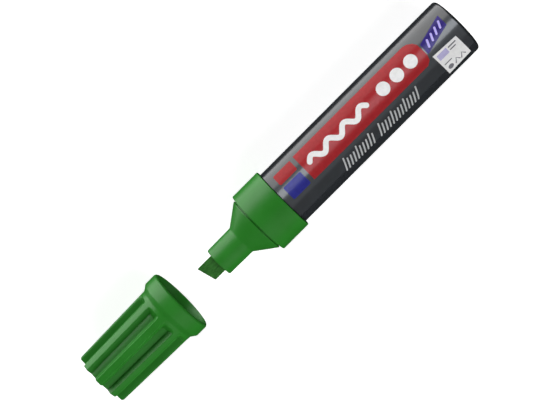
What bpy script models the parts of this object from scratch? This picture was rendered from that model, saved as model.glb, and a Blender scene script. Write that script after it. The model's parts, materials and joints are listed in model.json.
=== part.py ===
"""Broad whiteboard marker, lying on its side with its cap pulled off in front of the nib.

Metres, +Z up. The marker's axis runs along X: the writing tip points to -X, the closed rear end
to +X. The origin is under the middle of the whole object, on the surface it lies on.
Every turned piece is modelled upright on its own axis and laid down by its parent empty.
"""

import math

import bmesh
import bpy
from mathutils import Matrix, Vector

MM = 0.001
GAP = 0.3 * MM                   # clearance between pieces that touch on the real marker
SIDES = 48                       # sides of a turned piece
COLLAR_SIDES = 24                # wider flats, so that the marker doesn't roll off the one it lies on

# Driving dimensions
HALF_LENGTH = 85.5 * MM          # origin to either end, with the cap off
AXIS_Z = 12.51 * MM               # the cap's rim touches the surface with one of its flat sides

BARREL_R = 11.0 * MM
BARREL_WALL = 1.1 * MM
BARREL_END_WALL = 1.5 * MM
BARREL_EDGE_R = 1.2 * MM         # rounded edge of the closed end
STOP_R = 7.0 * MM                # opening of the step that holds the reservoir's rear end
STOP_LENGTH = 3.5 * MM

COLLAR_FRONT_X = -9.7 * MM       # the cap's rim stops here
COLLAR_LENGTH = 11.95 * MM
COLLAR_R = 12.45 * MM
NECK_R = 10.9 * MM               # short cylinder that centres the cap's mouth
NECK_LENGTH = 0.9 * MM
SNAP_GROOVE_LENGTH = 0.6 * MM    # next to the collar, for the rib that the cap snaps over
SNAP_GROOVE_DEPTH = 0.5 * MM
CONE_LENGTH = 7.25 * MM
NOZZLE_ROOT_R = 5.6 * MM
NOZZLE_R = 5.5 * MM
NOZZLE_LENGTH = 10.9 * MM
SKIRT_LENGTH = 6.9 * MM          # the part that plugs into the barrel
SKIRT_WALL = 0.85 * MM

NIB_WIDTH = 7.0 * MM
NIB_THICKNESS = 4.6 * MM
NIB_TIP_THICKNESS = 2.0 * MM
NIB_LONG = 6.85 * MM             # how far the long corner stands out of the nozzle
NIB_SHORT = 4.95 * MM            # and the short corner
NIB_BEVEL_LENGTH = 3.0 * MM
NIB_INSIDE = 22.2 * MM           # length behind the nozzle's front face

RESERVOIR_R = 7.8 * MM
RESERVOIR_LENGTH = 89.2 * MM
FILM_WALL = 0.35 * MM
NIB_POCKET = 3.3 * MM            # depth of the pocket that the nib's heel sits in

CAP_LENGTH = 38.75 * MM
CAP_END_R = 10.4 * MM            # over the ribs, at the closed end
CAP_SHOULDER_R = 11.1 * MM       # where the ribs run out, next to the flange
CAP_FLANGE_R = 12.55 * MM
CAP_FLANGE_LENGTH = 4.95 * MM
CAP_TAPER_LENGTH = 2.0 * MM
CAP_END_WALL = 1.5 * MM
CAP_MOUTH_R = 11.2 * MM
CAP_MOUTH_DEPTH = 4.4 * MM
CAP_BORE_R = 7.4 * MM
RIBS = 9
GROOVE_DEPTH = 2.1 * MM
GROOVE_HALF_ANGLE = 13.2         # degrees, from a groove's middle to the edge of a rib
FLANK_ANGLE = 5.7                # degrees, width of a groove's side wall
GROOVE_FRONT = 8.0 * MM          # mouth to the place where a groove runs out
GROOVE_RUN_OUT = 2.3 * MM        # length of the ramp at that end

LINER_FRONT = 8.1 * MM           # mouth to the liner's open end
LINER_LENGTH = 20.6 * MM
LINER_R = 6.8 * MM
LINER_WALL = 0.9 * MM
LINER_RING_R = 7.1 * MM          # two raised rings that hold it in the cap's bore
LINER_RING_LENGTH = 1.6 * MM

# Places along the marker's axis that follow from them
COLLAR_REAR_X = COLLAR_FRONT_X + COLLAR_LENGTH
NOZZLE_ROOT_X = COLLAR_FRONT_X - NECK_LENGTH - CONE_LENGTH
NOZZLE_FRONT_X = NOZZLE_ROOT_X - NOZZLE_LENGTH
SKIRT_REAR_X = COLLAR_REAR_X + SKIRT_LENGTH
BARREL_FRONT_X = COLLAR_REAR_X + GAP
BARREL_BORE_R = BARREL_R - BARREL_WALL
SKIRT_R = BARREL_BORE_R - GAP
SKIRT_BORE_R = SKIRT_R - SKIRT_WALL
STOP_X = HALF_LENGTH - BARREL_END_WALL - STOP_LENGTH
RESERVOIR_REAR_X = STOP_X - GAP
RESERVOIR_FRONT_X = RESERVOIR_REAR_X - RESERVOIR_LENGTH
CAP_MOUTH_X = -HALF_LENGTH + CAP_LENGTH


def clear_scene():
    for obj in list(bpy.data.objects):
        bpy.data.objects.remove(obj, do_unlink=True)


def make_collection(name):
    collection = bpy.data.collections.new(name)
    bpy.context.scene.collection.children.link(collection)
    return collection


def material(name, color, roughness, metallic=0.0):
    mat = bpy.data.materials.new(name)
    mat.use_nodes = True
    shader = mat.node_tree.nodes["Principled BSDF"]
    shader.inputs["Base Color"].default_value = (*color, 1.0)
    shader.inputs["Roughness"].default_value = roughness
    shader.inputs["Metallic"].default_value = metallic
    return mat


def lying_axis(name, x, collection):
    """An empty on the marker's axis whose own Z points to the rear end (+X)."""
    empty = bpy.data.objects.new(name, None)
    empty.location = (x, 0.0, AXIS_Z)
    empty.rotation_euler = (0.0, math.radians(90), 0.0)
    collection.objects.link(empty)
    return empty


def add_object(name, mesh, mat, parent, collection):
    obj = bpy.data.objects.new(name, mesh)
    obj.data.materials.append(mat)
    obj.parent = parent
    collection.objects.link(obj)
    return obj


def arc(center_z, center_r, radius, start_deg, end_deg, steps):
    """Points (z, r) along an arc; 0 degrees points outward, 90 to the rear."""
    points = []
    for i in range(steps + 1):
        angle = math.radians(start_deg + (end_deg - start_deg) * i / steps)
        points.append((center_z + radius * math.sin(angle), center_r + radius * math.cos(angle)))
    return points


def turned(name, profile, mat, parent, collection, closed=False, sides=SIDES):
    """Screw a (z, r) profile about the parent's Z. It runs down the outer side, rear to front."""
    mesh = bpy.data.meshes.new(name)
    half_step = math.pi / sides          # puts a flat side, not an edge, underneath
    points = [(r * math.cos(half_step), r * math.sin(half_step), z) for z, r in profile]
    edges = [(i, i + 1) for i in range(len(points) - 1)]
    if closed:
        edges.append((len(points) - 1, 0))
    mesh.from_pydata(points, edges, [])
    obj = add_object(name, mesh, mat, parent, collection)
    screw = obj.modifiers.new("turn", 'SCREW')
    screw.axis = 'Z'
    screw.steps = sides
    screw.render_steps = sides
    screw.use_merge_vertices = True
    screw.merge_threshold = 0.00001
    screw.use_smooth_shade = True
    return obj


def block_mesh(name, size, center):
    mesh = bpy.data.meshes.new(name)
    bm = bmesh.new()
    bmesh.ops.create_cube(bm, size=1.0, matrix=Matrix.Translation(center) @ Matrix.Diagonal((*size, 1.0)))
    bm.to_mesh(mesh)
    bm.free()
    return mesh


def cut_block(target, name, size, center, cutters):
    """Cut a box-shaped hole, given in the target's own axes."""
    cutter = bpy.data.objects.new(name, block_mesh(name, size, center))
    cutter.parent = target.parent
    cutter.hide_render = True
    cutter.display_type = 'WIRE'
    cutters.objects.link(cutter)
    boolean = target.modifiers.new(name, 'BOOLEAN')
    boolean.operation = 'DIFFERENCE'
    boolean.object = cutter


def make_barrel(axis, parts):
    """Moulded tube with its rear end closed and a step inside that stops the reservoir."""
    front = BARREL_FRONT_X
    chamfer = 0.2 * MM
    edge = BARREL_EDGE_R
    profile = [(HALF_LENGTH, 0.0)]
    profile += arc(HALF_LENGTH - edge, BARREL_R - edge, edge, 90, 0, 4)
    profile += [(front + chamfer, BARREL_R), (front, BARREL_R - chamfer), (front, BARREL_BORE_R)]
    profile += [(STOP_X, BARREL_BORE_R), (STOP_X, STOP_R)]
    profile += [(STOP_X + STOP_LENGTH, STOP_R), (STOP_X + STOP_LENGTH, 0.0)]
    paint = material("barrel_anthracite", (0.045, 0.05, 0.053), 0.22)
    return turned("barrel", profile, paint, axis, parts)


def make_front_section(axis, parts, cutters, green):
    """Collar, cone and nozzle in one piece, with a skirt that plugs into the barrel."""
    edge = 0.35 * MM
    wall = 2.2 * MM
    neck_front = COLLAR_FRONT_X - NECK_LENGTH
    groove_r = NECK_R - SNAP_GROOVE_DEPTH
    inner_cone_rear = neck_front + 0.7 * MM
    inner_cone_front = NOZZLE_ROOT_X + 2.6 * MM
    slot_r = NOZZLE_R - 0.6 * MM
    profile = [(SKIRT_REAR_X, SKIRT_R), (COLLAR_REAR_X, SKIRT_R)]
    profile += [(COLLAR_REAR_X, COLLAR_R - edge), (COLLAR_REAR_X - edge, COLLAR_R)]
    profile += [(COLLAR_FRONT_X + edge, COLLAR_R), (COLLAR_FRONT_X, COLLAR_R - edge)]
    profile += [(COLLAR_FRONT_X, groove_r), (COLLAR_FRONT_X - SNAP_GROOVE_LENGTH, groove_r)]
    profile += [(COLLAR_FRONT_X - SNAP_GROOVE_LENGTH, NECK_R), (neck_front, NECK_R)]
    profile += [(NOZZLE_ROOT_X, NOZZLE_ROOT_R)]
    profile += arc(NOZZLE_FRONT_X + edge, NOZZLE_R - edge, edge, 0, -90, 3)
    profile += [(NOZZLE_FRONT_X, 0.0), (NOZZLE_ROOT_X + wall * 0.5, 0.0)]
    profile += [(NOZZLE_ROOT_X + wall * 0.5, slot_r), (inner_cone_front, slot_r)]
    profile += [(inner_cone_rear, SKIRT_BORE_R), (SKIRT_REAR_X, SKIRT_BORE_R)]
    front = turned("front_section", profile, green, axis, parts, closed=True, sides=COLLAR_SIDES)
    slot_length = NOZZLE_LENGTH + 2 * wall
    slot = (NIB_THICKNESS + 2 * GAP, NIB_WIDTH + 2 * GAP, slot_length)
    center = (0.0, 0.0, NOZZLE_FRONT_X - wall + slot_length / 2)
    cut_block(front, "nib_slot", slot, center, cutters)
    return front


def slice_off(bm, point, normal):
    """Cut away what lies beyond a plane and close the block again."""
    geometry = bm.verts[:] + bm.edges[:] + bm.faces[:]
    cut = bmesh.ops.bisect_plane(bm, geom=geometry, plane_co=point, plane_no=normal, clear_outer=True)
    rim = [item for item in cut["geom_cut"] if isinstance(item, bmesh.types.BMEdge)]
    bmesh.ops.contextual_create(bm, geom=rim)


def make_nib(axis, parts):
    """Block of fibre with a slanted chisel tip. Its width lies along Y, its thickness along Z."""
    heel = NOZZLE_FRONT_X + NIB_INSIDE
    tip = NOZZLE_FRONT_X - NIB_LONG
    slant = NIB_LONG - NIB_SHORT
    length = heel - tip
    mesh = block_mesh("nib", (NIB_THICKNESS, NIB_WIDTH, length), (0.0, 0.0, (heel + tip) / 2))
    bm = bmesh.new()
    bm.from_mesh(mesh)
    # The long corner is on the +Y side, so the tip plane climbs towards -Y.
    across = Vector((0.0, -NIB_WIDTH, slant))
    slice_off(bm, Vector((0.0, NIB_WIDTH / 2, tip)), Vector((1.0, 0.0, 0.0)).cross(across))
    half_drop = (NIB_THICKNESS - NIB_TIP_THICKNESS) / 2
    for side in (-1, 1):
        corner = Vector((side * NIB_TIP_THICKNESS / 2, NIB_WIDTH / 2, tip))
        climb = Vector((side * half_drop, 0.0, NIB_BEVEL_LENGTH))
        normal = climb.cross(across)
        if normal.x * side < 0:
            normal = -normal
        slice_off(bm, corner, normal)
    bmesh.ops.recalc_face_normals(bm, faces=bm.faces[:])
    bm.to_mesh(mesh)
    bm.free()
    nib = add_object("nib", mesh, material("green_fibre", (0.03, 0.13, 0.02), 0.85), axis, parts)
    bevel = nib.modifiers.new("worn_edges", 'BEVEL')
    bevel.width = 0.25 * MM
    bevel.segments = 2
    bevel.limit_method = 'ANGLE'
    return nib


def make_reservoir(axis, parts, cutters):
    """Rod of ink-soaked fibre, with a pocket for the nib's heel, inside a film sleeve."""
    front, rear = RESERVOIR_FRONT_X, RESERVOIR_REAR_X
    profile = [(rear, 0.0), (rear, RESERVOIR_R), (front, RESERVOIR_R), (front, 0.0)]
    fibre = material("reservoir_fibre", (0.05, 0.22, 0.06), 0.9)
    rod = turned("ink_reservoir", profile, fibre, axis, parts, sides=SIDES // 2)
    pocket = (NIB_THICKNESS + 2 * GAP, NIB_WIDTH + 2 * GAP, 2 * NIB_POCKET)
    cut_block(rod, "nib_pocket", pocket, (0.0, 0.0, front), cutters)
    inner = RESERVOIR_R + GAP
    outer = inner + FILM_WALL
    film = material("clear_film", (0.75, 0.8, 0.78), 0.3)
    sleeve = [(rear, outer), (front + 2 * GAP, outer), (front + 2 * GAP, inner), (rear, inner)]
    turned("reservoir_film", sleeve, film, axis, parts, closed=True, sides=SIDES // 2)


def rib_angles():
    """Degrees about the cap's axis: each rib has its crest, its two side walls and the groove."""
    flank_top = 180 / RIBS - GROOVE_HALF_ANGLE
    half = [2.2, flank_top, flank_top + FLANK_ANGLE * 0.3, flank_top + FLANK_ANGLE * 0.7]
    half += [flank_top + FLANK_ANGLE, 180 / RIBS - 4.5]
    around = [-a for a in reversed(half)] + half
    return [rib * 360 / RIBS + a for rib in range(RIBS) for a in around]


def groove_depth(degrees, distance):
    """Depth of the fluting at an angle, at a distance from the cap's mouth."""
    from_rib = abs((degrees + 180 / RIBS) % (360 / RIBS) - 180 / RIBS)
    from_middle = 180 / RIBS - from_rib
    run_out = min(1.0, max(0.0, (distance - GROOVE_FRONT) / GROOVE_RUN_OUT))
    t = min(1.0, max(0.0, (GROOVE_HALF_ANGLE - from_middle) / FLANK_ANGLE))
    return GROOVE_DEPTH * run_out * t * t * (3 - 2 * t)


def cap_outer_rings():
    """(distance from the mouth, radius) from the closed end to the rim."""
    edge = 0.45 * MM
    rim = 0.9 * MM
    taper_end = CAP_FLANGE_LENGTH + CAP_TAPER_LENGTH
    rings = [(CAP_LENGTH, CAP_END_R - edge), (CAP_LENGTH - edge, CAP_END_R)]
    for distance in (GROOVE_FRONT + GROOVE_RUN_OUT, GROOVE_FRONT):
        along = (CAP_LENGTH - edge - distance) / (CAP_LENGTH - edge - taper_end)
        rings.append((distance, CAP_END_R + (CAP_SHOULDER_R - CAP_END_R) * along))
    rings += [(taper_end, CAP_SHOULDER_R), (CAP_FLANGE_LENGTH, CAP_FLANGE_R)]
    rings += [(rim, CAP_FLANGE_R), (rim * 0.35, CAP_FLANGE_R - rim * 0.3), (0.0, CAP_FLANGE_R - rim)]
    return rings


def cap_inner_rings():
    """(distance from the mouth, radius) from the rim to the bottom of the bore."""
    bore_front = GROOVE_FRONT - 0.4 * MM
    rings = [(0.0, CAP_MOUTH_R + 0.15 * MM), (0.3 * MM, CAP_MOUTH_R), (CAP_MOUTH_DEPTH, CAP_MOUTH_R)]
    rings += [(bore_front, CAP_BORE_R), (CAP_LENGTH - CAP_END_WALL, CAP_BORE_R)]
    return rings


def make_cap_shell(axis, parts, green):
    """Ribbed cap: a loft from the fluted section at its closed end to its round flange."""
    angles = rib_angles()
    bm = bmesh.new()
    rings = []
    for distance, radius in cap_outer_rings() + cap_inner_rings():
        outer = radius > CAP_BORE_R and (distance, radius) in cap_outer_rings()
        ring = []
        for degrees in angles:
            r = radius - groove_depth(degrees, distance) if outer else radius
            # The parent's -X is up, so a rib faces straight up at 0 degrees.
            turn = math.radians(degrees)
            ring.append(bm.verts.new((-r * math.cos(turn), r * math.sin(turn), -distance)))
        rings.append(ring)
    count = len(angles)
    for near, far in zip(rings, rings[1:]):
        for i in range(count):
            j = (i + 1) % count
            bm.faces.new((near[i], near[j], far[j], far[i]))
    bm.faces.new(rings[0])
    bm.faces.new(rings[-1])
    bmesh.ops.recalc_face_normals(bm, faces=bm.faces[:])
    mesh = bpy.data.meshes.new("cap_shell")
    bm.to_mesh(mesh)
    bm.free()
    mesh.shade_smooth()
    mesh.set_sharp_from_angle(angle=math.radians(35))
    return add_object("cap_shell", mesh, green, axis, parts)


def make_cap_liner(axis, parts):
    """Thin cup inside the cap that closes round the nozzle and keeps the nib wet."""
    front = -LINER_FRONT
    rear = front - LINER_LENGTH
    ring = LINER_RING_LENGTH
    bore = LINER_R - LINER_WALL
    lead_in = 0.5 * MM
    profile = [(front, LINER_RING_R), (front - ring, LINER_RING_R), (front - ring, LINER_R)]
    profile += [(rear + ring, LINER_R), (rear + ring, LINER_RING_R), (rear, LINER_RING_R)]
    profile += [(rear, 0.0), (rear + LINER_WALL, 0.0), (rear + LINER_WALL, bore - lead_in)]
    profile += [(rear + LINER_WALL + lead_in, bore), (front - lead_in, bore), (front, bore + lead_in)]
    white = material("natural_plastic", (0.7, 0.72, 0.68), 0.45)
    return turned("cap_liner", profile, white, axis, parts, closed=True, sides=SIDES // 2)


def main():
    clear_scene()
    parts = make_collection("whiteboard_marker")
    cutters = make_collection("cutters")
    green = material("green_plastic", (0.03, 0.18, 0.03), 0.35)
    marker_axis = lying_axis("marker_axis", 0.0, parts)
    cap_axis = lying_axis("cap_axis", CAP_MOUTH_X, parts)
    make_barrel(marker_axis, parts)
    make_front_section(marker_axis, parts, cutters, green)
    make_nib(marker_axis, parts)
    make_reservoir(marker_axis, parts, cutters)
    make_cap_shell(cap_axis, parts, green)
    make_cap_liner(cap_axis, parts)


main()
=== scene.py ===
"""Looks of the broad whiteboard marker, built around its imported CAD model.

The marker lies along X with its nib towards -X. Most pieces are lofts of rings about its axis:
a ring point is (x, turn, r), where turn 0 is straight up and a positive turn leans towards +Y.
"""
import json
import math

import bmesh
import bpy
from mathutils import Matrix, Vector, noise

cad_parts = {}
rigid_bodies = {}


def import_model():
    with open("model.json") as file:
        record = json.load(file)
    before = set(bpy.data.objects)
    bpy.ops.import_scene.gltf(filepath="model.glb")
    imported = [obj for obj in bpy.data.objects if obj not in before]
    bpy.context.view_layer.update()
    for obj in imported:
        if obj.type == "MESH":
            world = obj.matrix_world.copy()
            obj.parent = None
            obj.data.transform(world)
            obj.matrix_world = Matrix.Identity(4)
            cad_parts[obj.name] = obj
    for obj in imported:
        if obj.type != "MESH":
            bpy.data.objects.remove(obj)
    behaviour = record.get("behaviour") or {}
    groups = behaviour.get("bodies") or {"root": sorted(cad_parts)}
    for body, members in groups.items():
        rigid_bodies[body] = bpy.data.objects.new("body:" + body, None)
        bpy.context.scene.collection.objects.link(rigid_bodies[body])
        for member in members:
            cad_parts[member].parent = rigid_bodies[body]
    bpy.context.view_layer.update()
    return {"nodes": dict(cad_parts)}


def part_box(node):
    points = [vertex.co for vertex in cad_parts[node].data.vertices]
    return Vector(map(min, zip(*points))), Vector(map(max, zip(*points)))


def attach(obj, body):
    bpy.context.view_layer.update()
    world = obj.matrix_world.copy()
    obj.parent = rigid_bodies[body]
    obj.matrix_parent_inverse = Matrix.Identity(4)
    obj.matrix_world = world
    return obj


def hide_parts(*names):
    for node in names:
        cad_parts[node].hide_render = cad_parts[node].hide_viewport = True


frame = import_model()

MM = 0.001
SIDES = 192                      # points round a turned piece
HOLD = 0.25 * MM                 # from a rounded edge to the ring that keeps the next face flat

# Places on the marker's axis, from the frame
BARREL_LOW, BARREL_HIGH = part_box("barrel")
FRONT_LOW, FRONT_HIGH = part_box("front_section")
NIB_LOW, NIB_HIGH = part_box("nib")
CAP_LOW, CAP_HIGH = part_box("cap_shell")
LINER_LOW, LINER_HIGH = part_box("cap_liner")
AXIS_Z = (BARREL_LOW.z + BARREL_HIGH.z) / 2
REAR_X = BARREL_HIGH.x
BARREL_FRONT_X = BARREL_LOW.x
SKIRT_REAR_X = FRONT_HIGH.x
NOZZLE_FRONT_X = FRONT_LOW.x
MOUTH_X = CAP_HIGH.x
CAP_END_X = CAP_LOW.x

# Sizes, which repeat the CAD model's. Its round pieces have flat sides, so the flange's radius
# here is the one that lies on the floor
BARREL_R = 11.0 * MM
BARREL_WALL = 1.1 * MM
BARREL_END_WALL = 1.5 * MM
BARREL_EDGE_R = 1.2 * MM
COLLAR_R = 12.45 * MM
COLLAR_LENGTH = 11.95 * MM
NECK_R = 10.9 * MM
NECK_LENGTH = 0.9 * MM
SNAP_GROOVE_LENGTH = 0.6 * MM
SNAP_GROOVE_DEPTH = 0.5 * MM
CONE_LENGTH = 7.25 * MM
NOZZLE_ROOT_R = 5.6 * MM
NOZZLE_R = 5.5 * MM
NOZZLE_LENGTH = 10.9 * MM
SKIRT_R = 9.6 * MM
SKIRT_BORE_R = 8.75 * MM
NIB_THICKNESS = 4.6 * MM
NIB_WIDTH = 7.0 * MM
NIB_TIP_THICKNESS = 2.0 * MM
NIB_SLANT = 1.9 * MM
NIB_BEVEL_LENGTH = 3.0 * MM
NIB_CORNER_R = 0.3 * MM
NIB_SPACING = 0.17 * MM          # between the points round the nib, fine enough for its rough skin
SLOT_GAP = 0.3 * MM
CAP_END_R = 10.4 * MM
CAP_SHOULDER_R = 11.1 * MM
FLANGE_R = 12.51 * MM
FLANGE_LENGTH = 4.95 * MM
FLANGE_TAPER = 2.0 * MM
MOUTH_R = 11.2 * MM
MOUTH_DEPTH = 4.4 * MM
CAP_BORE_R = 7.4 * MM
CAP_END_WALL = 1.5 * MM
RIBS = 9
GROOVE_DEPTH = 2.1 * MM
GROOVE_FRONT = 8.0 * MM
GROOVE_RUN_OUT = 2.3 * MM
LINER_R = 6.8 * MM
LINER_RING_R = 7.1 * MM
LINER_RING_LENGTH = 1.6 * MM
LINER_WALL = 0.9 * MM

SPRUE_DEPTH = 0.18 * MM          # of the moulding marks in the middle of both ends
SPRUE_RIM = 0.3 * MM             # flat land round such a mark

# Half a rib and half a groove: degrees from the rib's middle, and share of the groove's depth
RIB_PROFILE = ((0.0, 0.0), (6.0, 0.0), (6.8, 0.04), (7.3, 0.13), (11.7, 0.92), (12.3, 0.99),
               (13.2, 1.0), (20.0, 1.0))
PROFILE_STEP = 0.8               # degrees between the points of a ring round the cap


# ---------------------------------------------------------------- materials

class Finish:
    """A Principled material with helpers for its procedural detail."""

    def __init__(self, name, roughness, **sockets):
        self.material = bpy.data.materials.new(name)
        self.material.use_nodes = True
        self.nodes = self.material.node_tree.nodes
        self.links = self.material.node_tree.links
        self.shader = self.nodes["Principled BSDF"]
        self.shader.inputs["Roughness"].default_value = roughness
        for socket, value in sockets.items():
            self.shader.inputs[socket.replace("_", " ")].default_value = value
        self.place = self.nodes.new("ShaderNodeTexCoord").outputs["Object"]

    def noise(self, size, detail=3.0, stretch=(1, 1, 1)):
        """Noise whose features are about size metres across."""
        mapping = self.nodes.new("ShaderNodeMapping")
        mapping.inputs["Scale"].default_value = [s / size for s in stretch]
        texture = self.nodes.new("ShaderNodeTexNoise")
        texture.inputs["Scale"].default_value = 1.0
        texture.inputs["Detail"].default_value = detail
        self.links.new(self.place, mapping.inputs["Vector"])
        self.links.new(mapping.outputs["Vector"], texture.inputs["Vector"])
        return texture.outputs["Fac"]

    def colours(self, factor, dark, light, low=0.3, high=0.7):
        """Base colour from dark, where factor is low, to light, where it is high."""
        ramp = self.nodes.new("ShaderNodeValToRGB")
        ramp.color_ramp.elements[0].position = low
        ramp.color_ramp.elements[0].color = (*dark, 1.0)
        ramp.color_ramp.elements[1].position = high
        ramp.color_ramp.elements[1].color = (*light, 1.0)
        self.links.new(factor, ramp.inputs["Fac"])
        self.links.new(ramp.outputs["Color"], self.shader.inputs["Base Color"])

    def roughness(self, factor, low, high):
        """Roughness that rises from low to high with factor."""
        spread = self.nodes.new("ShaderNodeMapRange")
        spread.inputs["To Min"].default_value = low
        spread.inputs["To Max"].default_value = high
        self.links.new(factor, spread.inputs["Value"])
        self.links.new(spread.outputs["Result"], self.shader.inputs["Roughness"])

    def bump(self, factor, height):
        """Relief of up to height metres where factor is high."""
        bump = self.nodes.new("ShaderNodeBump")
        bump.inputs["Distance"].default_value = height
        bump.inputs["Strength"].default_value = 1.0
        self.links.new(factor, bump.inputs["Height"])
        self.links.new(bump.outputs["Normal"], self.shader.inputs["Normal"])

    def glow(self, near, low, far, high):
        """Emission that rises from low at near metres from the origin to high at far metres."""
        distance = self.nodes.new("ShaderNodeVectorMath")
        distance.operation = 'LENGTH'
        spread = self.nodes.new("ShaderNodeMapRange")
        spread.inputs["From Min"].default_value = near
        spread.inputs["From Max"].default_value = far
        spread.inputs["To Min"].default_value = low
        spread.inputs["To Max"].default_value = high
        self.links.new(self.place, distance.inputs[0])
        self.links.new(distance.outputs["Value"], spread.inputs["Value"])
        self.links.new(spread.outputs["Result"], self.shader.inputs["Emission Strength"])


def green_plastic():
    """Through-dyed moulded plastic with a satin skin."""
    finish = Finish("green_plastic", 0.4, IOR=1.4)
    finish.colours(finish.noise(9 * MM, 4.0), (0.019, 0.182, 0.015), (0.025, 0.208, 0.021))
    finish.roughness(finish.noise(2.5 * MM, 4.0), 0.34, 0.46)
    finish.bump(finish.noise(0.25 * MM, 2.0), 0.004 * MM)
    return finish.material


def barrel_lacquer():
    """Anthracite barrel with a clear gloss coat."""
    finish = Finish("barrel_anthracite", 0.2, IOR=1.45, Coat_Weight=0.2, Coat_Roughness=0.08)
    finish.colours(finish.noise(6 * MM, 4.0), (0.018, 0.0205, 0.023), (0.022, 0.025, 0.029))
    finish.roughness(finish.noise(1.5 * MM, 4.0), 0.17, 0.25)
    finish.bump(finish.noise(1.2 * MM, 2.0), 0.002 * MM)
    return finish.material


def print_ink(name, dark, light):
    """Screen-printed ink under the same gloss coat as the barrel."""
    finish = Finish(name, 0.2, IOR=1.25, Coat_Weight=0.02, Coat_Roughness=0.08)
    finish.colours(finish.noise(1.2 * MM, 3.0), dark, light)
    finish.roughness(finish.noise(0.8 * MM, 3.0), 0.2, 0.3)
    finish.bump(finish.noise(0.3 * MM, 2.0), 0.001 * MM)
    return finish.material


def nib_fibre():
    """Compressed fibre block soaked with green ink, with streaks along its length."""
    finish = Finish("nib_fibre", 0.8, IOR=1.4)
    streaks = finish.noise(0.5 * MM, 5.0, stretch=(0.15, 1.0, 1.0))
    finish.colours(streaks, (0.014, 0.085, 0.010), (0.038, 0.185, 0.026))
    finish.roughness(streaks, 0.7, 0.9)
    finish.bump(finish.noise(0.22 * MM, 4.0, stretch=(0.3, 1.0, 1.0)), 0.05 * MM)
    return finish.material


def soft_white_plastic():
    """Undyed, slightly milky plastic of the cap's inner cup."""
    finish = Finish("natural_plastic", 0.4, IOR=1.5)
    finish.colours(finish.noise(4 * MM, 3.0), (0.60, 0.62, 0.57), (0.68, 0.70, 0.65))
    finish.roughness(finish.noise(1.5 * MM, 3.0), 0.36, 0.48)
    finish.bump(finish.noise(0.3 * MM, 2.0), 0.004 * MM)
    return finish.material


def reservoir_fibre():
    """Bundle of fibres along the reservoir, wet with green ink."""
    finish = Finish("reservoir_fibre", 0.9)
    streaks = finish.noise(0.4 * MM, 4.0, stretch=(0.05, 1.0, 1.0))
    finish.colours(streaks, (0.03, 0.15, 0.04), (0.07, 0.28, 0.08))
    finish.roughness(streaks, 0.8, 0.95)
    finish.bump(streaks, 0.05 * MM)
    return finish.material


def reservoir_film():
    """Thin, slightly creased film with the ink showing faintly through it."""
    finish = Finish("reservoir_film", 0.25, IOR=1.5)
    finish.colours(finish.noise(3 * MM, 3.0), (0.55, 0.66, 0.58), (0.70, 0.78, 0.72))
    finish.roughness(finish.noise(2 * MM, 3.0), 0.2, 0.35)
    finish.bump(finish.noise(1.5 * MM, 3.0), 0.02 * MM)
    return finish.material


# ---------------------------------------------------------------- lofts about the axis

def circle(x, r, sides=SIDES):
    """A round ring, or the single point that closes a piece on the axis."""
    if r <= 0:
        return [(x, 0.0, 0.0)]
    return [(x, 2 * math.pi * (i + 0.5) / sides, r) for i in range(sides)]


def slot_ring(x, half_y, half_z):
    """A rectangle with rounded corners, as a superellipse."""
    power = 9
    ring = []
    for _, turn, _ in circle(x, 1.0):
        across = abs(math.sin(turn) / half_y) ** power
        up = abs(math.cos(turn) / half_z) ** power
        ring.append((x, turn, (across + up) ** (-1 / power)))
    return ring


def arc(x, r, radius, start, end, steps):
    """Outline points (x, r) along an arc; 0 degrees points outward and 90 to the rear."""
    points = []
    for i in range(steps + 1):
        angle = math.radians(start + (end - start) * i / steps)
        points.append((x + radius * math.sin(angle), r + radius * math.cos(angle)))
    return points


def bridge(bm, near, far):
    """Faces between two loops of vertices; either may be a single vertex."""
    count = max(len(near), len(far))
    for i in range(count):
        j = (i + 1) % count
        corners = [near[i % len(near)], near[j % len(near)], far[j % len(far)], far[i % len(far)]]
        bm.faces.new(list(dict.fromkeys(corners)))


def mesh_from(name, bm, sharp=32):
    """The finished mesh, smooth except along edges sharper than sharp degrees."""
    mesh = bpy.data.meshes.new(name)
    bm.to_mesh(mesh)
    bm.free()
    mesh.shade_smooth()
    mesh.set_sharp_from_angle(angle=math.radians(sharp))
    return mesh


def loft(name, rings, closed=False):
    """Join rings of (x, turn, r) into one closed skin; closed joins the last ring to the first."""
    bm = bmesh.new()
    loops = []
    for ring in rings:
        loops.append([bm.verts.new((x, r * math.sin(t), r * math.cos(t))) for x, t, r in ring])
    for near, far in zip(loops, loops[1:]):
        bridge(bm, near, far)
    if closed:
        bridge(bm, loops[-1], loops[0])
    bmesh.ops.recalc_face_normals(bm, faces=bm.faces[:])
    return mesh_from(name, bm)


def turned(name, outline, sides=SIDES):
    """A round piece from its outline (x, r), which starts and ends on the axis."""
    return loft(name, [circle(x, r, sides) for x, r in outline])


def add_piece(name, mesh, material, body, nodes=()):
    """Put a mesh on the axis as a piece that rides on body and stands for the CAD nodes."""
    obj = bpy.data.objects.new(name, mesh)
    obj.location = (0.0, 0.0, AXIS_Z)
    bpy.context.scene.collection.objects.link(obj)
    mesh.materials.clear()
    mesh.materials.append(material)
    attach(obj, body)
    if nodes:
        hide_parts(*nodes)
    return obj


# ---------------------------------------------------------------- the marker's pieces

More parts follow.
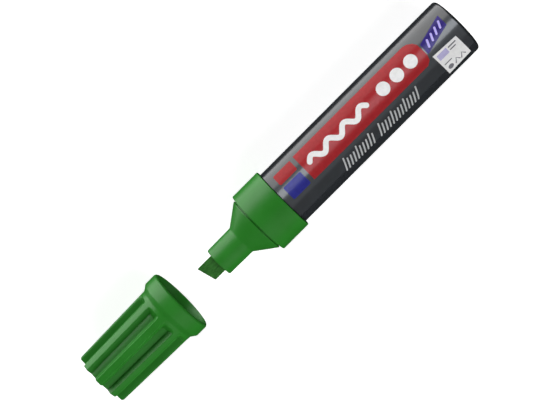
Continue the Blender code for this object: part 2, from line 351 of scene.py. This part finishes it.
def make_barrel(lacquer):
    """Tube with a closed, nearly flat rear end and a small sprue mark in its middle."""
    edge = BARREL_EDGE_R
    lip = 0.15 * MM
    front = BARREL_FRONT_X - 0.22 * MM   # close up against the collar
    bore_r, bore_rear = BARREL_R - BARREL_WALL, REAR_X - BARREL_END_WALL
    mark_r, mark_x = 1.4 * MM, REAR_X - SPRUE_DEPTH
    outline = [(mark_x, 0.0), (mark_x, mark_r - SPRUE_DEPTH)]
    outline += [(REAR_X, mark_r), (REAR_X, mark_r + SPRUE_RIM), (REAR_X, (BARREL_R - edge) * 0.6)]
    outline += arc(REAR_X - edge, BARREL_R - edge, edge, 90, 0, 12)
    outline += [(REAR_X - edge - HOLD, BARREL_R), (front + lip + HOLD, BARREL_R)]
    outline += arc(front + lip, BARREL_R - lip, lip, 0, -90, 4)
    outline += [(front, bore_r), (bore_rear, bore_r), (bore_rear, 0.0)]
    mesh = turned("barrel_tube", outline)
    add_piece("barrel_tube", mesh, lacquer, "marker", ["barrel"])


def front_section_rings():
    """Skirt, collar, snap groove, neck, cone and nozzle, then the slot and the inside cone."""
    nozzle_root = NOZZLE_FRONT_X + NOZZLE_LENGTH
    neck_front = nozzle_root + CONE_LENGTH
    collar_front = neck_front + NECK_LENGTH
    collar_rear = collar_front + COLLAR_LENGTH
    edge, fillet, small = 0.3 * MM, 0.5 * MM, 0.08 * MM
    groove_r = NECK_R - SNAP_GROOVE_DEPTH
    land = collar_front - SNAP_GROOVE_LENGTH
    outline = [(SKIRT_REAR_X, SKIRT_R), (collar_rear, SKIRT_R)]
    outline += arc(collar_rear - edge, COLLAR_R - edge, edge, 90, 0, 6)
    outline += [(collar_rear - edge - HOLD, COLLAR_R), (collar_front + edge + HOLD, COLLAR_R)]
    outline += arc(collar_front + edge, COLLAR_R - edge, edge, 0, -90, 6)
    outline += [(collar_front, groove_r + small), (collar_front - small, groove_r)]
    outline += [(land + small, groove_r), (land, groove_r + small)]
    outline += arc(land - small, NECK_R - small, small, 90, 0, 3)
    outline += [(neck_front + small, NECK_R), (neck_front - 1.5 * small, NECK_R - 1.2 * small)]
    # Where the cone flows into the nozzle, in shares of the fillet
    for along, out in ((0.7, 0.56), (0.2, 0.22), (-0.3, 0.03), (-1.0, 0.0)):
        outline.append((nozzle_root + along * fillet, NOZZLE_ROOT_R + out * fillet))
    outline.append((NOZZLE_FRONT_X + edge + HOLD, NOZZLE_R))
    outline += arc(NOZZLE_FRONT_X + edge, NOZZLE_R - edge, edge, 0, -90, 6)
    rings = [circle(x, r) for x, r in outline]
    half_y, half_z = NIB_WIDTH / 2 + SLOT_GAP * 0.7, NIB_THICKNESS / 2 + SLOT_GAP * 0.7
    lead = 0.15 * MM
    inner_cone_front = nozzle_root + 2.6 * MM
    rings.append(slot_ring(NOZZLE_FRONT_X, half_y + lead, half_z + lead))
    rings.append(slot_ring(NOZZLE_FRONT_X + lead, half_y, half_z))
    rings.append(slot_ring(inner_cone_front - 1.5 * MM, half_y, half_z))
    rings.append(circle(inner_cone_front, 4.8 * MM))
    rings.append(circle(neck_front + 0.7 * MM, SKIRT_BORE_R))
    rings.append(circle(SKIRT_REAR_X, SKIRT_BORE_R))
    return rings


def make_front_section(green):
    """One moulding, hollow from the end of its skirt to the slot that holds the nib."""
    mesh = loft("front_section_moulding", front_section_rings(), closed=True)
    add_piece("front_section_moulding", mesh, green, "marker", ["front_section"])


def rounded_rectangle(half_y, half_z, radius, spacing):
    """Points (y, z) round a rectangle with rounded corners."""
    points = []
    for corner, (along_y, along_z) in enumerate(((-1, 0), (0, -1), (1, 0), (0, 1))):
        middle = math.radians(45 + 90 * corner)
        center_y = math.copysign(half_y - radius, math.cos(middle))
        center_z = math.copysign(half_z - radius, math.sin(middle))
        for step in range(5):
            angle = math.radians(90 * corner + 90 * step / 4)
            y, z = radius * math.cos(angle), radius * math.sin(angle)
            points.append((center_y + y, center_z + z))
        side = 2 * (half_y - radius) if along_y else 2 * (half_z - radius)
        start_y, start_z = points[-1]
        steps = round(side / spacing)
        for step in range(1, steps):
            reach = side * step / steps
            points.append((start_y + along_y * reach, start_z + along_z * reach))
    return points


def nib_ring(behind, inset):
    """A section of the nib, behind metres back from its slanted tip."""
    rise = min(1.0, behind / NIB_BEVEL_LENGTH)
    half_z = (NIB_TIP_THICKNESS + (NIB_THICKNESS - NIB_TIP_THICKNESS) * rise) / 2
    scale_y = (NIB_WIDTH / 2 - inset) / (NIB_WIDTH / 2)
    scale_z = (half_z - inset) / (NIB_THICKNESS / 2)
    ring = []
    for y, z in rounded_rectangle(NIB_WIDTH / 2, NIB_THICKNESS / 2, NIB_CORNER_R, NIB_SPACING):
        y, z = y * scale_y, z * scale_z
        slant = NIB_SLANT * (0.5 - y / NIB_WIDTH)
        x = NIB_LOW.x + min(slant + behind, NIB_HIGH.x - NIB_LOW.x)
        ring.append((x, math.atan2(y, z), math.hypot(y, z)))
    return ring


def make_nib(fibre):
    """Chisel of compressed fibre with a slanted tip, its skin roughened along its length."""
    edge, seen = 0.25 * MM, 8.5 * MM
    rings = [[(NIB_LOW.x + NIB_SLANT / 2, 0.0, 0.0)]]
    rings += [nib_ring(0.0, inset * MM) for inset in (0.85, 0.6, 0.4)]
    for step in range(5):
        angle = math.radians(90 * step / 4)
        rings.append(nib_ring(edge * (1 - math.cos(angle)), edge * (1 - math.sin(angle))))
    rings += [nib_ring(edge + (seen - edge) * step / 50, 0.0) for step in range(1, 51)]
    rings.append(nib_ring(NIB_HIGH.x - NIB_LOW.x, 0.0))
    rings.append([(NIB_HIGH.x, 0.0, 0.0)])
    mesh = loft("nib_chisel", rings)
    rough = 0.03 * MM
    for vertex in mesh.vertices:
        x, y, z = vertex.co / MM
        streak = noise.noise(Vector((x * 0.5, y * 3.0, z * 3.0)))
        pit = noise.noise(Vector((x * 1.7, y * 1.7, z * 1.7 + 9.0)))
        vertex.co += vertex.normal * rough * (streak + pit - 1)
    mesh.set_sharp_from_angle(angle=math.radians(60))
    add_piece("nib_chisel", mesh, fibre, "marker", ["nib"])


# ---------------------------------------------------------------- the cap

def rib_points():
    """(turn, share of the groove's depth) all the way round the cap."""
    half = []
    for (angle, share), (next_angle, next_share) in zip(RIB_PROFILE, RIB_PROFILE[1:]):
        steps = max(2, round((next_angle - angle) / PROFILE_STEP))
        for i in range(steps):
            k = (i + 0.5) / steps
            half.append((angle + (next_angle - angle) * k, share + (next_share - share) * k))
    around = [(-angle, share) for angle, share in reversed(half)] + half
    points = []
    for rib in range(RIBS):
        points += [(math.radians(rib * 360 / RIBS + angle), share) for angle, share in around]
    return points


RIB_POINTS = rib_points()


def cap_ring(distance, radius, depth=0.0):
    """A ring at a distance from the cap's mouth, with grooves of the given depth."""
    return [(MOUTH_X - distance, turn, radius - depth * share) for turn, share in RIB_POINTS]


def ease(t):
    """0 to 1 in a straight ramp with softened ends."""
    soft = 0.25
    slope = 1 / (1 - soft)
    if t < soft:
        return slope * t * t / (2 * soft)
    if t > 1 - soft:
        return 1 - slope * (1 - t) ** 2 / (2 * soft)
    return slope * (t - soft / 2)


def cap_outer_rings():
    """From the middle of the closed end, over the ribs and the flange, to the rim."""
    length = MOUTH_X - CAP_END_X
    edge = 0.5 * MM
    taper_rear = FLANGE_LENGTH + FLANGE_TAPER
    mark_r = 1.2 * MM
    rings = [circle(CAP_END_X + SPRUE_DEPTH, 0.0)]
    rings.append(cap_ring(length - SPRUE_DEPTH, mark_r - SPRUE_DEPTH))
    rings += [cap_ring(length, mark_r), cap_ring(length, mark_r + SPRUE_RIM)]
    rings.append(cap_ring(length, CAP_END_R - edge - HOLD, GROOVE_DEPTH))
    for x, r in reversed(arc(edge, CAP_END_R - edge, edge, 0, -90, 6)):
        rings.append(cap_ring(length - x, r, GROOVE_DEPTH))
    groove_full = GROOVE_FRONT + GROOVE_RUN_OUT
    stations = [(length - edge - (length - edge - groove_full) * i / 4, 1.0) for i in range(1, 5)]
    stations += [(groove_full - GROOVE_RUN_OUT * i / 14, 1 - ease(i / 14)) for i in range(1, 15)]
    for distance, opening in stations:
        along = (length - edge - distance) / (length - edge - taper_rear)
        radius = CAP_END_R + (CAP_SHOULDER_R - CAP_END_R) * along
        rings.append(cap_ring(distance, radius, GROOVE_DEPTH * opening))
    soft, rim = 0.35 * MM, 1.0 * MM
    slope = (FLANGE_R - CAP_SHOULDER_R) / FLANGE_TAPER
    rise = soft * slope
    outline = [(taper_rear + soft, CAP_SHOULDER_R), (taper_rear, CAP_SHOULDER_R + 0.2 * rise)]
    outline += [(taper_rear - soft, CAP_SHOULDER_R + rise), (FLANGE_LENGTH + soft, FLANGE_R - rise)]
    outline += [(FLANGE_LENGTH, FLANGE_R - 0.2 * rise), (FLANGE_LENGTH - soft, FLANGE_R)]
    outline.append((rim + HOLD, FLANGE_R))
    outline += [(-x, r) for x, r in arc(-rim, FLANGE_R - rim, rim, 0, 90, 8)]
    return rings + [cap_ring(distance, radius) for distance, radius in outline]


def cap_inner_rings():
    """From the rim, down the mouth and the bore, to the inside of the closed end."""
    lip = 0.2 * MM
    outline = [(0.0, MOUTH_R + lip), (lip * 0.3, MOUTH_R + lip * 0.3), (lip, MOUTH_R)]
    outline += [(MOUTH_DEPTH, MOUTH_R), (GROOVE_FRONT - 0.4 * MM, CAP_BORE_R)]
    outline += [(MOUTH_X - CAP_END_X - CAP_END_WALL, CAP_BORE_R)]
    rings = [cap_ring(distance, radius) for distance, radius in outline]
    return rings + [circle(CAP_END_X + CAP_END_WALL, 0.0)]


def make_cap(green, white):
    """The fluted shell, and the thin cup inside it that closes round the nozzle."""
    mesh = loft("cap_fluted", cap_outer_rings() + cap_inner_rings())
    add_piece("cap_fluted", mesh, green, "cap", ["cap_shell"])
    front, rear = LINER_HIGH.x, LINER_LOW.x
    ring, bore, round_r = LINER_RING_LENGTH, LINER_R - LINER_WALL, 0.3 * MM
    outline = [(rear, 0.0)]
    outline += reversed(arc(rear + round_r, LINER_RING_R - round_r, round_r, 0, -90, 4))
    outline += [(rear + ring, LINER_RING_R), (rear + ring, LINER_R), (front - ring, LINER_R)]
    outline += [(front - ring, LINER_RING_R)]
    outline += reversed(arc(front - round_r, LINER_RING_R - round_r, round_r, 90, 0, 4))
    outline += [(front, bore + 0.5 * MM), (front - 0.5 * MM, bore)]
    outline += reversed(arc(rear + LINER_WALL + 1.0 * MM, bore - 1.0 * MM, 1.0 * MM, -90, 0, 6))
    outline += [(rear + LINER_WALL, 0.0)]
    liner = turned("cap_inner_cup", outline, sides=96)
    add_piece("cap_inner_cup", liner, white, "cap", ["cap_liner"])


# ---------------------------------------------------------------- print on the barrel

INK_LAYER = 0.025 * MM           # height of each layer of ink over the one below
INK_STRIP = 0.5 * MM             # width of the flat strips that follow the barrel's curve


def print_area(name, outline, ink, layer=1):
    """An area of print. Its outline is in mm: x along the axis, and s from the top towards +Y."""
    bm = bmesh.new()
    corners = [bm.verts.new((x * MM, s * MM, 0.0)) for x, s in outline]
    edges = [bm.edges.new((corners[i - 1], corner)) for i, corner in enumerate(corners)]
    bmesh.ops.triangle_fill(bm, use_beauty=True, use_dissolve=False, edges=edges)
    low = min(v.co.y for v in bm.verts)
    high = max(v.co.y for v in bm.verts)
    for i in range(math.ceil(low / INK_STRIP), math.floor(high / INK_STRIP) + 1):
        geometry = bm.verts[:] + bm.edges[:] + bm.faces[:]
        cut = (0, i * INK_STRIP, 0)
        bmesh.ops.bisect_plane(bm, geom=geometry, plane_co=cut, plane_no=(0, 1, 0))
    for vertex in bm.verts:
        r = BARREL_R + layer * INK_LAYER
        turn = vertex.co.y / BARREL_R
        vertex.co = (vertex.co.x, r * math.sin(turn), r * math.cos(turn))
    bm.normal_update()
    for face in bm.faces:
        if face.normal.dot(face.calc_center_median() * Vector((0, 1, 1))) < 0:
            face.normal_flip()
    bm.normal_update()
    bmesh.ops.solidify(bm, geom=bm.faces[:], thickness=layer * INK_LAYER + 0.01 * MM)
    add_piece(name, mesh_from(name, bm), ink, "marker")


def along_circle(x, s, radius, degrees):
    """The point at an angle round the circle with its centre at (x, s)."""
    angle = math.radians(degrees)
    return (x + radius * math.cos(angle), s + radius * math.sin(angle))


def rectangle(x0, x1, s0, s1, corner=0.0):
    """A rectangle, with rounded corners if they have a radius."""
    if not corner:
        return [(x0, s0), (x1, s0), (x1, s1), (x0, s1)]
    points = []
    centers = ((x1 - corner, s1 - corner), (x0 + corner, s1 - corner))
    centers += ((x0 + corner, s0 + corner), (x1 - corner, s0 + corner))
    for quarter, (x, s) in enumerate(centers):
        points += [along_circle(x, s, corner, 90 * quarter + 90 * step / 5) for step in range(6)]
    return points


def disc(x, s, radius, steps=40):
    """Points round a circle."""
    return [along_circle(x, s, radius, 360 * i / steps) for i in range(steps)]


def stroke(points, width):
    """The outline of a line of constant width through points, with round ends."""
    left, right, start, end = [], [], [], []
    for i, (x, s) in enumerate(points):
        x0, s0 = points[max(i - 1, 0)]
        x1, s1 = points[min(i + 1, len(points) - 1)]
        angle = math.degrees(math.atan2(s1 - s0, x1 - x0))
        left.append(along_circle(x, s, width / 2, angle + 90))
        right.append(along_circle(x, s, width / 2, angle - 90))
        if i == 0:
            start = [along_circle(x, s, width / 2, angle - 90 - 180 * k / 8) for k in range(1, 8)]
        end = [along_circle(x, s, width / 2, angle + 90 - 180 * k / 8) for k in range(1, 8)]
    return left + end + right[::-1] + start


def print_red_bar(red, white):
    """The wide bar, with a wave and three discs on it."""
    bar = [(14.65, -3.1), (67.9, -3.1), (69.6, -2.0), (70.2, -0.4)]
    bar += [(70.2, 4.7), (69.4, 6.2), (67.9, 7.6), (66.4, 8.2), (14.65, 8.2)]
    print_area("print_red_bar", bar, red)
    start, end, period = 17.6, 44.2, 7.6
    wave = []
    for i in range(161):
        x = start + (end - start) * i / 160
        wave.append((x, 2.2 + 1.35 * math.sin(2 * math.pi * (x - start) / period)))
    print_area("print_white_wave", stroke(wave, 1.9), white, layer=2)
    for i in range(3):
        print_area(f"print_white_disc_{i + 1}", disc(52.0 + 6.4 * i, 2.2, 2.45), white, layer=2)


def print_signs(red, blue, indigo, lilac, grey):
    """Plain blocks, ticks and dashes for the other marks beside the bar."""
    print_area("print_red_block", rectangle(5.1, 13.0, 3.5, 8.0, 0.5), red)
    print_area("print_blue_block", rectangle(5.1, 13.0, -3.1, 2.3, 0.5), blue)
    for start, count in ((24.5, 10), (40.9, 13)):
        for i in range(count):
            x = start + 1.45 * i
            top = -5.1 if i % 4 == 0 else -6.1
            tick = [(x, -9.9), (x + (top + 9.9) * 0.36, top)]
            print_area(f"print_tick_{round(x * 10)}", stroke(tick, 0.55), grey)
    print_area("print_indigo_tag", [(70.6, -0.4), (81.8, 2.3), (82.0, 7.1), (70.9, 3.85)], indigo)
    for i in range(4):
        dash = [(72.6 + 2.35 * i, 1.2 + 0.65 * i), (73.6 + 2.35 * i, 3.3 + 0.65 * i)]
        print_area(f"print_lilac_dash_{i + 1}", stroke(dash, 0.75), lilac, layer=2)


def print_panel(white, lavender, slate):
    """The pale panel near the rear end, with plain shapes on it."""
    print_area("print_panel", [(71.0, -1.95), (81.3, -2.45), (81.9, -11.8), (71.7, -12.55)], white)
    print_area("print_panel_block", rectangle(72.0, 76.2, -5.0, -2.9), lavender, layer=2)
    print_area("print_panel_bar_1", rectangle(76.8, 80.2, -3.7, -3.25), slate, layer=2)
    print_area("print_panel_bar_2", rectangle(76.8, 79.4, -4.75, -4.35), slate, layer=2)
    print_area("print_panel_bar_3", rectangle(72.2, 75.4, -7.5, -7.1), slate, layer=2)
    print_area("print_panel_disc", disc(73.6, -9.8, 1.1, 28), slate, layer=2)
    for i in range(2):
        x = 75.6 + 2.6 * i
        chevron = [(x, -10.4), (x + 1.0, -8.4), (x + 2.0, -10.0)]
        print_area(f"print_panel_chevron_{i + 1}", stroke(chevron, 0.42), slate, layer=2)


def make_print():
    """The inks, and everything that is printed with them."""
    red = print_ink("print_red", (0.31, 0.006, 0.009), (0.36, 0.009, 0.013))
    white = print_ink("print_white", (0.76, 0.76, 0.76), (0.84, 0.84, 0.84))
    blue = print_ink("print_blue", (0.012, 0.013, 0.19), (0.016, 0.018, 0.24))
    indigo = print_ink("print_indigo", (0.014, 0.004, 0.13), (0.020, 0.007, 0.18))
    lilac = print_ink("print_lilac", (0.45, 0.38, 0.85), (0.52, 0.45, 0.92))
    grey = print_ink("print_grey", (0.44, 0.45, 0.46), (0.52, 0.53, 0.54))
    slate = print_ink("print_slate", (0.16, 0.16, 0.18), (0.21, 0.21, 0.23))
    lavender = print_ink("print_lavender", (0.44, 0.41, 0.66), (0.50, 0.47, 0.72))
    print_red_bar(red, white)
    print_signs(red, blue, indigo, lilac, grey)
    print_panel(white, lavender, slate)


# ---------------------------------------------------------------- camera, lights, floor

EYE_DISTANCE = 0.545             # from the eye to the marker's axis
EYE_X = 25.8 * MM                # the eye is above this place on the axis
AIM_X = -1.55 * MM               # where the middle of the picture meets the axis
LENS = 104.85                    # mm, on a sensor 36 mm wide


def make_camera():
    """Looks down on the marker, with the marker's axis along the picture's rising diagonal."""
    eye = Vector((EYE_X, 0.0, AXIS_Z + EYE_DISTANCE))
    forward = (Vector((AIM_X, 0.0, AXIS_Z)) - eye).normalized()
    along = Vector((1.0, 0.0, 0.0))
    along = (along - along.dot(forward) * forward).normalized()
    across = along.cross(forward)
    right = (along - across).normalized()
    up = (along + across).normalized()
    camera = bpy.data.cameras.new("camera")
    camera.sensor_width = 36.0
    camera.lens = LENS
    obj = bpy.data.objects.new("camera", camera)
    turn = Matrix((right, up, -forward)).transposed().to_4x4()
    obj.matrix_world = Matrix.Translation(eye) @ turn
    bpy.context.scene.collection.objects.link(obj)
    bpy.context.scene.camera = obj


BOX_LENGTH = 1.6                 # of every softbox, in metres along the marker
PANEL_TINT = (0.95, 1.0, 1.06)   # makes the reflections in the dark barrel slightly cool


def softbox(name, place, aim, width, radiance):
    """A rectangular light that shines from place towards aim."""
    light = bpy.data.lights.new(name, 'AREA')
    light.shape = 'RECTANGLE'
    light.size = BOX_LENGTH
    light.size_y = width
    light.energy = radiance * math.pi * BOX_LENGTH * width
    obj = bpy.data.objects.new(name, light)
    obj.location = place
    obj.rotation_euler = (Vector(aim) - Vector(place)).to_track_quat('-Z', 'Y').to_euler()
    bpy.context.scene.collection.objects.link(obj)
    return obj


def make_lights(glossy):
    """A large box on each side, and panels that only show in the gloss of the barrel."""
    softbox("side_box", (0.0, 0.8, 0.17), (0.0, 0.0, 0.17), 1.2, 3.7)
    fill = softbox("fill_box", (-0.12, -0.75, 0.5), (0.0, 0.0, 0.1), 0.95, 2.5)
    fill.visible_glossy = False
    panels = []
    overhead = (("strip", 0.235, 0.51, 6.9), ("near", 0.77, 0.56, 1.2), ("far", -0.595, 1.15, 0.85))
    for name, y, width, radiance in overhead:
        panels.append(softbox(f"overhead_{name}", (0.0, y, 1.0), (0.0, y, 0.0), width, radiance))
    panels.append(softbox("back_panel", (0.0, -1.17, 0.4), (0.0, 0.0, 0.4), 1.2, 0.3))
    for panel in panels:
        panel.visible_diffuse = False
        panel.data.color = PANEL_TINT
        panel.light_linking.receiver_collection = glossy
    world = bpy.data.worlds.new("studio")
    world.use_nodes = True
    world.node_tree.nodes["Background"].inputs["Color"].default_value = (0.02, 0.02, 0.02, 1.0)
    bpy.context.scene.world = world


def add_stage(name, bm, material):
    """A part of the studio, which doesn't belong to the marker."""
    mesh = bpy.data.meshes.new(name)
    bm.to_mesh(mesh)
    bm.free()
    mesh.materials.append(material)
    obj = bpy.data.objects.new(name, mesh)
    bpy.context.scene.collection.objects.link(obj)
    return obj


def make_stage():
    """Pale floor that glows like a light table, more so far out, and a pale dome behind it."""
    bm = bmesh.new()
    bmesh.ops.create_grid(bm, x_segments=1, y_segments=1, size=3.0)
    finish = Finish("floor", 0.9)
    finish.glow(near=0.4, low=0.58, far=0.8, high=1.0)
    finish.shader.inputs["Emission Color"].default_value = (1.0, 1.0, 1.0, 1.0)
    finish.colours(finish.noise(0.2), (0.86, 0.86, 0.86), (0.89, 0.89, 0.89))
    floor = add_stage("floor", bm, finish.material)
    floor.visible_glossy = False
    floor.visible_diffuse = False
    bm = bmesh.new()
    bmesh.ops.create_uvsphere(bm, u_segments=64, v_segments=32, radius=2.8)
    finish = Finish("backdrop", 1.0, Specular_IOR_Level=0.0, Emission_Strength=1.0)
    finish.shader.inputs["Base Color"].default_value = (0.0, 0.0, 0.0, 1.0)
    finish.shader.inputs["Emission Color"].default_value = (1.0, 1.0, 1.0, 1.0)
    dome = add_stage("backdrop", bm, finish.material)
    dome.visible_glossy = False
    dome.visible_diffuse = False
    dome.visible_shadow = False
    dome.visible_transmission = False


def finish_reservoir():
    """The reservoir and its film stay as they are in CAD, with materials of their own."""
    for node, finish in (("ink_reservoir", reservoir_fibre()), ("reservoir_film", reservoir_film())):
        materials = frame["nodes"][node].data.materials
        materials.clear()
        materials.append(finish)


def glossy_pieces():
    """A collection of the barrel and its print, for the lights that are only for them."""
    glossy = bpy.data.collections.new("glossy_pieces")
    for obj in bpy.context.scene.objects:
        if obj.name.startswith(("barrel_tube", "print_")):
            glossy.objects.link(obj)
    return glossy


def main():
    """Make the marker's pieces first, and then the studio."""
    green = green_plastic()
    make_barrel(barrel_lacquer())
    make_front_section(green)
    make_nib(nib_fibre())
    make_cap(green, soft_white_plastic())
    make_print()
    finish_reservoir()
    make_stage()
    make_lights(glossy_pieces())
    make_camera()
    bpy.context.scene.view_settings.view_transform = 'Standard'


main()
